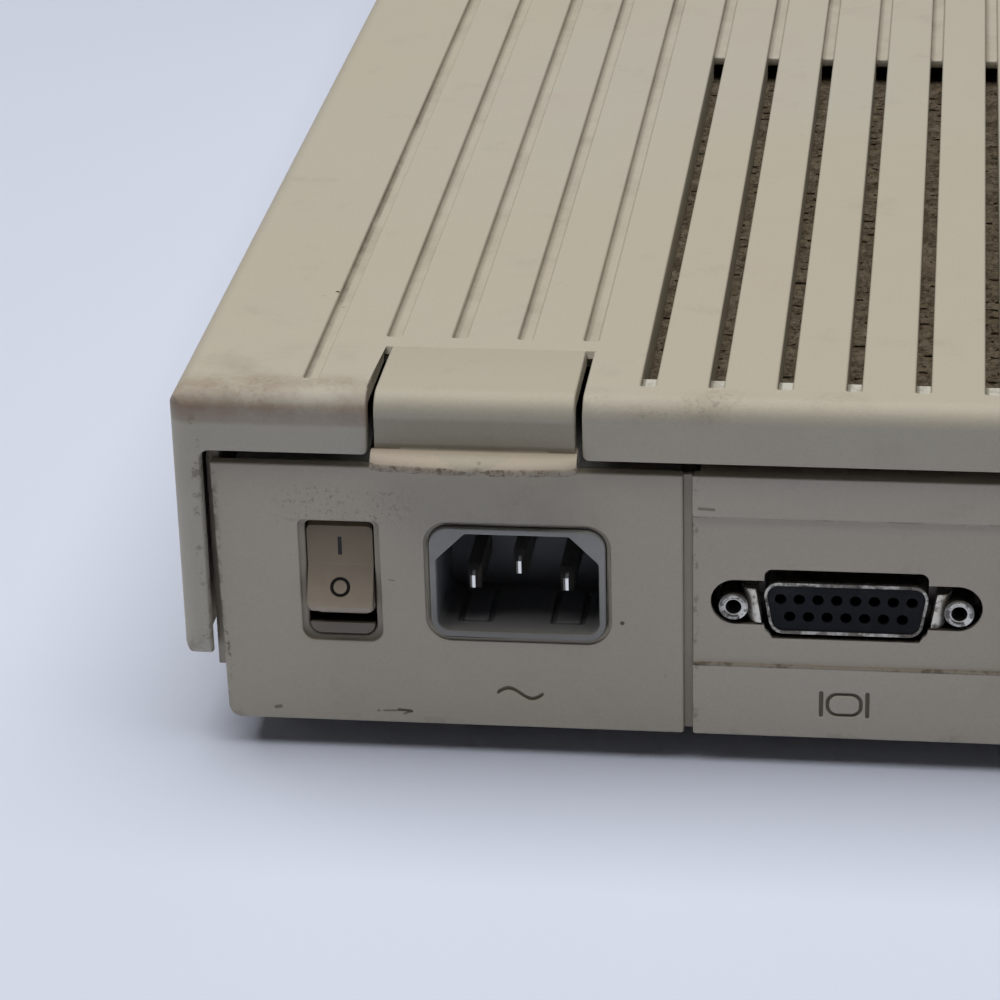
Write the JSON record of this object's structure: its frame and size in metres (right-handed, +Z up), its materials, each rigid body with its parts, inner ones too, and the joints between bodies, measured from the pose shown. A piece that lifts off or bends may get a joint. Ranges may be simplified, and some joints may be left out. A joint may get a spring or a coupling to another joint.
{
  "type": "desktop home computer",
  "caption": "Low, wide desktop home computer with a vented lift-up lid on rear latches, a power supply and a port panel across the rear, a fan, a floppy drive and a hard drive inside.",
  "frame": {"origin": "centre of the bounding box, on the surface the feet stand on", "axes": "+Z up, +Y towards the rear panels, +X to the right for someone facing the disk slot, on the power supply's side"},
  "size_m": [0.31, 0.385, 0.06],
  "materials": {
    "lid_plastic": "moulded ABS, warm beige, yellowed and lightly soiled",
    "latch_plastic": "moulded ABS, warm beige, grubby at the ledge",
    "bezel_plastic": "moulded ABS, warm beige",
    "tray_plastic": "moulded ABS, grey beige",
    "supply_plastic": "moulded ABS, cooler grey beige, fine spark texture",
    "port_plastic": "moulded ABS, cooler grey beige, fine spark texture",
    "rocker_plastic": "moulded nylon, brown grey",
    "inlet_plastic": "moulded grey thermoplastic",
    "black_plastic": "moulded black thermoplastic",
    "cream_plastic": "moulded connector plastic",
    "rail_plastic": "moulded grey plastic",
    "foot_rubber": "soft dark rubber",
    "shield_steel": "thin slotted sheet under a film of brown dust",
    "plated_steel": "thin zinc-plated sheet",
    "contact_metal": "tin-plated contact metal, lightly worn",
    "board_green": "glass-fibre board with green solder mask",
    "board_brown": "paper-phenolic board",
    "motor_board": "glass-fibre board, blue-green",
    "chip_black": "moulded epoxy chip bodies",
    "winding_tape": "varnished winding and ferrite core",
    "copper_wire": "enamelled copper wire on a ring core",
    "can_sleeve": "shrink-sleeved aluminium can",
    "aluminium_cans": "bare aluminium can",
    "heatsink_aluminium": "extruded aluminium",
    "battery_red": "sleeved lithium cell",
    "ribbon_grey": "grey flat cable with black plugs",
    "cable_black": "black sheathed leads",
    "cast_aluminium": "black-coated casting",
    "paper_cone": "treated black paper cone",
    "led_green": "diffused green lens"
  },
  "bodies": {
    "base": {"bottom_case": "tray_plastic", "front_bezel": "bezel_plastic", "rubber_feet": "foot_rubber", "drive_carriers": "rail_plastic", "power_supply_case": "supply_plastic", "power_supply_cover": "plated_steel", "power_supply_board": "board_brown", "power_transformer": "winding_tape", "power_capacitors": "can_sleeve", "power_heatsinks": "heatsink_aluminium", "power_choke": "copper_wire", "inlet_body": "inlet_plastic", "inlet_blades": "contact_metal", "switch_body": "rocker_plastic", "power_lead": "cable_black", "port_panel": "port_plastic", "expansion_cover": "port_plastic", "logic_board": "board_green", "processor": "chip_black", "rom_chips": "chip_black", "controller_chips": "chip_black", "memory_chips": "chip_black", "memory_sockets": "cream_plastic", "memory_modules": "board_green", "expansion_slot": "cream_plastic", "clock_battery": "battery_red", "battery_holder": "black_plastic", "board_capacitors": "aluminium_cans", "crystal_oscillators": "plated_steel", "video_port_shell": "contact_metal", "video_port_insert": "black_plastic", "drive_port_shell": "contact_metal", "drive_port_insert": "black_plastic", "port_jackscrews": "contact_metal", "printer_and_modem_ports": "black_plastic", "keyboard_port": "black_plastic", "sound_jacks": "black_plastic", "drive_cables": "ribbon_grey", "floppy_frame": "plated_steel", "floppy_shield": "plated_steel", "floppy_motor_board": "motor_board", "floppy_guide_rods": "contact_metal", "floppy_stepper": "plated_steel", "floppy_eject_motor": "plated_steel", "hard_drive_casting": "cast_aluminium", "hard_drive_cover": "aluminium_cans", "hard_drive_board": "board_green", "fan_frame": "black_plastic", "speaker_frame": "plated_steel", "speaker_cone": "paper_cone", "power_led": "led_green"},
    "top_cover": {"top_cover": "lid_plastic", "vent_shield": "shield_steel"},
    "rear_latch_left": {"rear_latch_left": "latch_plastic"},
    "rear_latch_right": {"rear_latch_right": "latch_plastic"},
    "power_rocker": {"power_rocker": "rocker_plastic"},
    "fan_rotor": {"fan_rotor": "black_plastic"},
    "floppy_spindle": {"floppy_spindle": "aluminium_cans"},
    "floppy_head_carriage": {"floppy_head_carriage": "rail_plastic"},
    "floppy_lead_screw": {"floppy_lead_screw": "contact_metal"}
  },
  "joints": [
    {"name": "lid_lift", "type": "hinge", "parent": "base", "child": "top_cover", "pos_m": [0, -0.1925, 0.049], "axis": [1, 0, 0], "range_deg": [0, 55]},
    {"name": "left_latch_lift", "type": "hinge", "parent": "top_cover", "child": "rear_latch_left", "pos_m": [0.1094, 0.1697, 0.06], "axis": [1, 0, 0], "range_deg": [0, 8], "stiffness_Nm_per_rad": 0.6},
    {"name": "right_latch_lift", "type": "hinge", "parent": "top_cover", "child": "rear_latch_right", "pos_m": [-0.1094, 0.1697, 0.06], "axis": [1, 0, 0], "range_deg": [0, 8], "stiffness_Nm_per_rad": 0.6},
    {"name": "power_switch", "type": "hinge", "parent": "base", "child": "power_rocker", "pos_m": [0.1305, 0.1811, 0.0301], "axis": [-1, 0, 0], "range_deg": [0, 24]},
    {"name": "fan_spin", "type": "hinge", "parent": "base", "child": "fan_rotor", "pos_m": [0.012, -0.0171, 0.029], "axis": [0, 1, 0], "continuous": true},
    {"name": "disk_spindle_spin", "type": "hinge", "parent": "base", "child": "floppy_spindle", "pos_m": [0.095, -0.126, 0.018], "axis": [0, 0, 1], "continuous": true},
    {"name": "head_travel", "type": "slide", "parent": "base", "child": "floppy_head_carriage", "axis": [0, -1, 0], "range_m": [0, 0.015]},
    {"name": "lead_screw_turn", "type": "hinge", "parent": "base", "child": "floppy_lead_screw", "pos_m": [0.068, -0.088, 0.026], "axis": [0, -1, 0], "continuous": true}
  ],
  "couplings": [
    {"joint": "lead_screw_turn", "follows": "head_travel", "rad_per_m": 1675.5}
  ]
}
